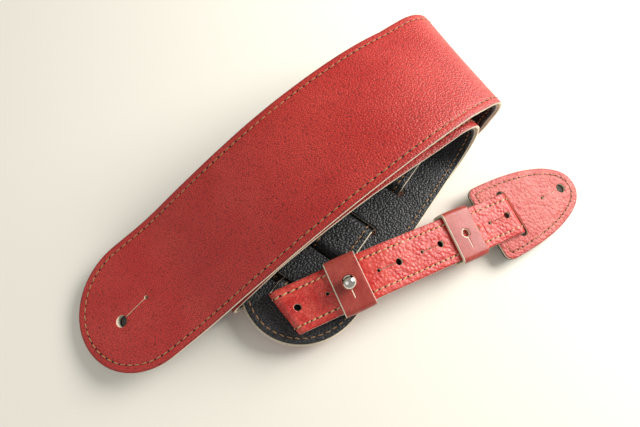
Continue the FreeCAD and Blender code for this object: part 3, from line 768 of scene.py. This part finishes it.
def leather(name, dark, middle, light, grain=0.9, valley_shade=0.5, relief=0.45, cloud=0.05, roughness=0.46,
            patch=0.5, burnish=0.45, wrinkle=0.0, depth=0.0003):
    """Pebbled leather.

    grain is pebbles per millimetre, pit how dark the painted shade in the valleys between them is,
    cloud and patch the scale and contrast of colour patches, burnish how dark the edge is, depth
    the relief in m.
    """
    s = Shader(name)
    warp = s.node("VectorMath", inputs={
        0: s.pattern(grain),
        1: s.node("VectorMath", inputs={0: s.node("TexNoise", "Color", {
            "Vector": s.pattern(grain * 0.6), "Scale": 1.0, "Detail": 2.0}), "Scale": 0.7},
            operation="SCALE")}, operation="ADD")
    pebble = s.cells(grain, "SMOOTH_F1", vector=warp, smooth=0.35)
    valley = s.remap(s.cells(grain, "DISTANCE_TO_EDGE", vector=warp), 0.0, 0.16, 1.0, 0.0)
    patches = s.remap(s.noise(cloud, 4.0, 0.6, 0.4), 0.5 - patch / 2, 0.5 + patch / 2)
    fine = s.noise(grain * 2.6, 3.0, 0.6)
    colour = s.mix(patches, middle, light)
    # painted shade: the valleys between the pebbles are darkened towards dark, by pit
    colour = s.mix(s.math("MULTIPLY", valley, valley_shade), colour, dark)
    colour = s.mix(s.remap(fine, 0.35, 0.75, 0.0, 0.22), colour, light)
    rim = s.remap(s.attribute("edge", "Fac"), 0.0, 0.0016, burnish, 0.0)
    colour = s.mix(rim, colour, dark)
    s.set("Base Color", colour)
    rough = s.math("ADD", s.remap(fine, 0.3, 0.7, roughness - 0.06, roughness + 0.06),
                   s.math("MULTIPLY", valley, 0.12))
    s.set("Roughness", rough)
    height = s.math("SUBTRACT", s.math("MULTIPLY", fine, 0.22), pebble)
    if wrinkle:
        folds = s.noise(grain * 0.28, 5.0, 0.65, 1.2)
        height = s.math("ADD", height, s.math("MULTIPLY", folds, wrinkle))
    s.bump(height, relief, depth)
    return s.material


def raw_edge(name, light, dark, roughness=0.85):
    """Cut edge of leather: pale, fibrous and a little dirty."""
    s = Shader(name, roughness)
    fibre = s.noise(1.6, 5.0, 0.65)
    s.set("Base Color", s.mix(s.remap(fibre, 0.35, 0.75), light, dark))
    s.bump(fibre, 0.35, 0.0002)
    return s.material


def foam(name):
    s = Shader(name, 0.92, Sheen_Weight=0.25)
    pores = s.cells(3.0, "F1")
    # painted shade: the foam is darker in the pits of its pores
    s.set("Base Color", s.mix(s.remap(pores, 0.1, 0.6), rgb(168, 162, 148), rgb(208, 202, 186)))
    s.bump(pores, 0.4, 0.0002)
    return s.material


def thread(name, light, dark):
    """Waxed thread: strands that wind round it, and a little dirt."""
    s = Shader(name, 0.6, Sheen_Weight=0.3)
    ply = s.node("TexWave", "Fac", {"Vector": s.pattern(1.0), "Scale": 0.75, "Distortion": 0.6},
                 bands_direction="DIAGONAL")
    s.set("Base Color", s.mix(s.remap(ply, 0.3, 0.9), light, dark))
    s.bump(ply, 0.5, 0.0001)
    return s.material


def metal(name, colour, roughness):
    s = Shader(name, roughness, Metallic=1.0)
    scuff = s.node("TexNoise", "Fac", {"Scale": 900.0, "Detail": 3.0})
    s.set("Base Color", s.mix(s.remap(scuff, 0.4, 0.7, 0.0, 0.35), colour, rgb(150, 146, 140)))
    s.set("Roughness", s.remap(scuff, 0.3, 0.8, roughness, roughness + 0.08))
    return s.material


def hole_shade():
    # painted shade: the dark brown of the needle holes, with a little speckle
    s = Shader("needle_hole_shade", 0.9)
    speck = s.noise(3.0, 2.0)
    s.set("Base Color", s.mix(speck, rgb(38, 20, 12), rgb(62, 34, 22)))
    return s.material


RED = leather("red_leather", rgb(104, 12, 12), rgb(194, 33, 27), rgb(218, 68, 57), grain=0.95,
              valley_shade=0.85, relief=0.8, cloud=0.03, patch=0.7, roughness=0.42, depth=0.0003)
TAIL_RED = leather("tail_red_leather", rgb(138, 14, 14), rgb(194, 30, 26), rgb(222, 84, 71),
                   grain=0.55, relief=0.55, cloud=0.16, patch=0.34, roughness=0.34, wrinkle=0.7,
                   depth=0.0006)
TAB_RED = leather("tab_red_leather", rgb(140, 34, 34), rgb(188, 60, 54), rgb(214, 104, 92),
                  grain=0.6, relief=0.6, cloud=0.09, patch=0.5, roughness=0.42, wrinkle=1.2,
                  depth=0.0007)
KEEPER_RED = leather("keeper_leather", rgb(104, 28, 24), rgb(158, 46, 39), rgb(192, 86, 72),
                     grain=1.6, relief=0.12, cloud=0.1, patch=0.5, roughness=0.36, burnish=0.3)
BLACK = leather("black_leather", rgb(4, 4, 5), rgb(32, 32, 34), rgb(56, 56, 59), grain=0.8,
                valley_shade=0.95, relief=1.0, cloud=0.08, patch=0.6, roughness=0.42, burnish=0.1,
                wrinkle=0.35, depth=0.0006)
CREAM_EDGE = raw_edge("cream_edge", rgb(246, 236, 214), rgb(222, 200, 168))
DARK_EDGE = raw_edge("dark_edge", rgb(52, 52, 54), rgb(26, 25, 26))
FOAM = foam("grey_foam")
CREAM_THREAD = thread("cream_thread", rgb(226, 200, 150), rgb(178, 138, 86))
GOLD_THREAD = thread("gold_thread", rgb(194, 150, 94), rgb(136, 92, 54))
TAN_THREAD = thread("tan_thread", rgb(196, 148, 96), rgb(134, 92, 52))
METAL = metal("polished_metal", rgb(226, 222, 214), 0.07)
HOLE_SHADE = hole_shade()

# ---------------------------------------------------------------- the wide strap
outline = strap_outline()
openings = [top_hole()]
for slot in SLOTS:
    middle = STRAP_LENGTH - slot
    openings.append(long_hole(middle - SLOT_WIDTH / 2, middle + SLOT_WIDTH / 2, SLOT_LENGTH / 2))
RINGS = (0.7, 1.6, 2.6, 3.1, 3.5, 3.9, 4.5, 6.0)
strap_pattern = Pattern(outline, openings, strap.lines(0, STRAP_LENGTH, 4.0),
                        STRAP_LINES, RINGS)
lining_pattern = Pattern(turned(outline, LINING_INSET), openings, strap.lines(0, STRAP_LENGTH, 4.0),
                         STRAP_LINES, RINGS)
uneven = waves(strap_pattern.points, *UNEVEN)
face = layer("strap_face_leather", strap, strap_pattern, REST - STRAP_FACE, REST,
             (RED, CREAM_EDGE), 1, uneven)
pad = layer("strap_foam", strap, lining_pattern, STRAP_BACK - REST + GAP, REST - STRAP_FACE - GAP,
            (FOAM, FOAM))
lining = layer("strap_lining", strap, lining_pattern, -REST, STRAP_BACK - REST,
               (BLACK, DARK_EDGE), -1, waves(lining_pattern.points, *UNEVEN))
needle_rows = row_of(outline, pitch=4.09)
face_thread = stitches("strap_face_stitches", strap, needle_rows, REST - GROOVE, 1, GOLD_THREAD,
                       HOLE_SHADE, 0.62, 0.10, 1)
back_thread = stitches("strap_lining_stitches", strap, needle_rows, -REST + GROOVE, -1, TAN_THREAD,
                       HOLE_SHADE, 0.62, 0.14, 2)
for piece, slot, nodes in (
        (face, "red_leather", ("strap_face", "strap_end_face")),
        (pad, "padding", ("strap_padding", "strap_end_padding")),
        (lining, "black_leather", ("strap_backing", "strap_end_backing")),
        (face_thread, "cream_thread", ("strap_face_thread",)),
        (back_thread, "tan_thread", ("strap_back_thread",))):
    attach(piece, "wide_strap")
    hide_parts(*nodes)

# ---------------------------------------------------------------- the tail
FOLD_END = MARK["fold_end"]
STRETCHES = {
    "woven": (0.0, MARK["fold_start"]),
    "fold": (MARK["fold_start"], FOLD_END),
    "run": (FOLD_END, MARK["loop_start"]),
    "loop": (MARK["loop_start"], MARK["loop_end"]),
    "return": (MARK["loop_end"], MARK["end"]),
}
TAIL_RINGS = (0.6, 1.6, 2.6, 3.1, 3.5, 3.9, 4.5, 5.6)


def tail_holes(name):
    if name == "run":
        first = round_hole(FOLD_END + TAIL_HOLES[0], TAIL_HOLE_RADIUS)
        return [first] + [keyhole(FOLD_END + at, TAIL_HOLE_RADIUS, FOLD_END + at - TAIL_SLIT)
                          for at in TAIL_HOLES[1:5]]
    if name == "loop":
        at = FOLD_END + TAIL_HOLES[5]
        return [keyhole(at, TAIL_HOLE_RADIUS, at - TAIL_SLIT)]
    if name == "return":
        stud, lower = tail.at(FOLD_END + TAIL_HOLES[1])[0], 1e9
        for distance, point, _, _, _ in tail.stations:
            if distance > MARK["loop_end"] and (point - stud).length < lower:
                lower, near = (point - stud).length, distance
        return [round_hole(near, 1.6)]
    return []


for name, (start, end) in STRETCHES.items():
    joints = [x for x in (start, end) if x not in (0.0, MARK["end"])]
    half = TAIL_WIDTH / 2
    outline = [(start, -half), (end, -half), (end, half), (start, half)]
    pattern = Pattern(outline, tail_holes(name), tail.lines(start, end, 1.6, 0.12),
                      TAIL_LINES, TAIL_RINGS, joints)
    under = Pattern(turned(outline, LINING_INSET / 2, joints), tail_holes(name),
                    tail.lines(start, end, 1.6, 0.12), TAIL_LINES, TAIL_RINGS, joints)
    bumps = waves(pattern.points, 5.5, 0.13, 1.0)
    calm = waves(under.points, 9.0, 0.08, 5.0)
    pieces = [
        (layer("tail_%s_leather" % name, tail, pattern, HALF_TAIL - TAIL_FACE, HALF_TAIL,
               (TAIL_RED, CREAM_EDGE), 1, bumps), "tail_red_leather", ["tail_%s_face" % name]),
        (layer("tail_%s_lining" % name, tail, under, -HALF_TAIL, HALF_TAIL - TAIL_FACE - GAP,
               (BLACK, DARK_EDGE), -1, calm), "black_leather", ["tail_%s_backing" % name]),
    ]
    rows = row_of(outline, joints, 3.5)
    covered = ["tail_%s_thread" % name] if name in ("run", "loop") else []
    pieces.append((stitches("tail_%s_stitches" % name, tail, rows, HALF_TAIL - GROOVE, 1,
                            CREAM_THREAD, HOLE_SHADE, 0.8, 0.22, 5), "cream_thread", covered))
    pieces.append((stitches("tail_%s_lining_stitches" % name, tail, rows, -HALF_TAIL + GROOVE, -1,
                            TAN_THREAD, HOLE_SHADE, 0.7, 0.2, 6), "tan_thread", []))
    for piece, slot, nodes in pieces:
        if name == "fold":
            middle = Vector((-0.02843, -0.07078, 0.01691))
            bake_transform(piece)
        elif name == "loop":
            way = tail.at(MARK["loop_start"])[1]
            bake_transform(piece)
        else:
            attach(piece, "wide_strap" if name == "woven" else "tail")
        if nodes:
            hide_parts(*nodes)

# ---------------------------------------------------------------- the end tab
tab = tab_path()
outline = tab_outline()
tab_holes = [long_hole(TAB_SLOT[0], TAB_SLOT[1], TAB_SLOT_LENGTH / 2),
             keyhole(TAB_HOLE_AT, TAB_HOLE_RADIUS, TAB_HOLE_AT - TAB_SLIT)]
tab_pattern = Pattern(outline, tab_holes, np.arange(2.0, 66.0, 1.7), np.arange(-21.0, 22.0, 1.75),
                      TAIL_RINGS)
bumps = waves(tab_pattern.points, 7.0, 0.16, 7.0)
tab_rows = row_of(outline, pitch=3.6)
for piece, slot, node in (
        (layer("tab_leather", tab, tab_pattern, TAB_TOTAL / 2 - TAB_FACE, TAB_TOTAL / 2,
               (TAB_RED, CREAM_EDGE), 1, bumps), "tail_red_leather", "tab_face"),
        (layer("tab_lining", tab, tab_pattern, -TAB_TOTAL / 2, TAB_BACK - TAB_TOTAL / 2,
               (BLACK, DARK_EDGE), -1, bumps), "black_leather", "tab_backing"),
        (stitches("tab_stitches", tab, tab_rows, TAB_TOTAL / 2 - GROOVE, 1, TAN_THREAD, HOLE_SHADE,
                  0.62, 0.12, 8), "tan_thread", "tab_thread"),
        (stitches("tab_lining_stitches", tab, tab_rows, -TAB_TOTAL / 2 + GROOVE, -1, TAN_THREAD,
                  HOLE_SHADE, 0.7, 0.2, 9), "tan_thread", None)):
    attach(piece, "end_tab")
    if node:
        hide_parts(node)

# ---------------------------------------------------------------- keepers, stud and screw
for name, distance, room, radius, slit, body, node in (
        ("stud_keeper_leather", TAIL_HOLES[1], 1.25, 2.2, 8.0, "tail", "stud_keeper"),
        ("sliding_keeper_leather", SLIDER_AT, 0.65, 2.6, 8.5, "slider", "sliding_keeper")):
    path = loop_path(tail.at(FOLD_END + distance), room)
    length, half = path.s[-1], KEEPER_WIDTH / 2
    outline = [(0.0, -half), (length, -half), (length, half), (0.0, half)]
    pattern = Pattern(outline, [keyhole(length / 2, radius, length / 2 + slit, True)],
                      path.lines(0, length, 1.5, 0.2), TAIL_LINES,
                      (0.4, 1.0, 2.0), (0.0, length), 0.6)
    crown = 0.18 * np.cos(pattern.points[:, 1] / half * math.pi / 2)
    pattern.edge += INSET + 3.0                          # a keeper has no stitch line
    swell = waves(pattern.points, 8.0, 0.08, 11.0) + crown - 0.2
    keeper = layer(name, path, pattern, 0.0, KEEPER_SKIN, (KEEPER_RED, CREAM_EDGE), 1, swell,
                   bare=-1)
    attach(keeper, body)
    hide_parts(node)

stud_place = tail.at(FOLD_END + TAIL_HOLES[1])
ball_at = HALF_TAIL + KEEPER_ROOM + KEEPER_SKIN + 0.25 + BALL_RADIUS
base_top = -HALF_TAIL - 0.15
profile = [(0.0, ball_at + BALL_RADIUS)]
for degrees in range(6, 157, 6):
    t = math.radians(degrees)
    profile.append((BALL_RADIUS * math.sin(t), ball_at + BALL_RADIUS * math.cos(t)))
profile += [(NECK_RADIUS, ball_at - 3.9), (NECK_RADIUS, base_top + 0.1), (1.8, base_top),
            (4.7, base_top), (BASE_RADIUS, base_top - 0.25), (BASE_RADIUS, base_top - 0.8),
            (4.7, base_top - BASE_HEIGHT), (0.0, base_top - BASE_HEIGHT)]
ball = lathe("stud_turned", profile, stud_place, METAL)
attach(ball, "stud")
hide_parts("stud_ball")
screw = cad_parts["stud_screw"]
screw.data.materials.clear()
screw.data.materials.append(METAL)

# ---------------------------------------------------------------- floor, light and camera
floor_shader = Shader("pale_floor", 0.75, Specular_IOR_Level=0.2)
speckle = floor_shader.node("TexNoise", "Fac", {"Scale": 9.0, "Detail": 2.0})
floor_shader.set("Base Color", floor_shader.mix(speckle, rgb(240, 235, 222), rgb(246, 242, 231)))
mesh = bpy.data.meshes.new("floor")
FLOOR_HALF, FLOOR_LEVEL = 4, -0.0002
mesh.from_pydata([(x * FLOOR_HALF, y * FLOOR_HALF, FLOOR_LEVEL)
                  for x, y in ((-1, -1), (1, -1), (1, 1), (-1, 1))], [], [(0, 1, 2, 3)])
mesh.materials.append(floor_shader.material)
floor = bpy.data.objects.new("floor", mesh)
bpy.context.scene.collection.objects.link(floor)


def area_light(name, place, target, size, power, colour):
    data = bpy.data.lights.new(name, "AREA")
    data.shape, data.size, data.energy, data.color = "DISK", size, power, colour
    lamp = bpy.data.objects.new(name, data)
    bpy.context.scene.collection.objects.link(lamp)
    lamp.location = place
    lamp.rotation_euler = (Vector(target) - Vector(place)).to_track_quat("-Z", "Y").to_euler()


area_light("key", (0.50, 0.34, 0.42), (0.0, 0.02, 0.0), 0.5, 8.2, (1.0, 0.985, 0.95))
area_light("fill", (-0.6, -0.5, 0.8), (0.0, 0.0, 0.0), 0.9, 1.5, (0.95, 0.97, 1.0))
world = bpy.data.worlds.new("studio")
world.use_nodes = True
background = world.node_tree.nodes["Background"]
background.inputs["Color"].default_value = (1.0, 0.985, 0.955, 1.0)
background.inputs["Strength"].default_value = 0.38
bpy.context.scene.world = world

SENSOR, FOCAL_SHARE, CAMERA_HEIGHT = 36.0, 430.0 / 640.0, 243.64  # height in the paths' frame
camera_data = bpy.data.cameras.new("camera")
camera_data.sensor_width, camera_data.lens = SENSOR, SENSOR * FOCAL_SHARE
camera_data.clip_start, camera_data.clip_end = 0.01, 20.0
camera = bpy.data.objects.new("camera", camera_data)
bpy.context.scene.collection.objects.link(camera)
right = Vector((0.994281, 0.101375, 0.033595))
up = Vector((-0.106796, 0.943806, 0.312768))
back = Vector((0.0, -0.314567, 0.949235))
camera.matrix_world = Matrix((
    (right.x, up.x, back.x, -ORIGIN.x * MM), (right.y, up.y, back.y, -ORIGIN.y * MM),
    (right.z, up.z, back.z, (CAMERA_HEIGHT - ORIGIN.z) * MM), (0, 0, 0, 1)))
bpy.context.scene.camera = camera
bpy.context.scene.view_settings.view_transform = "Standard"
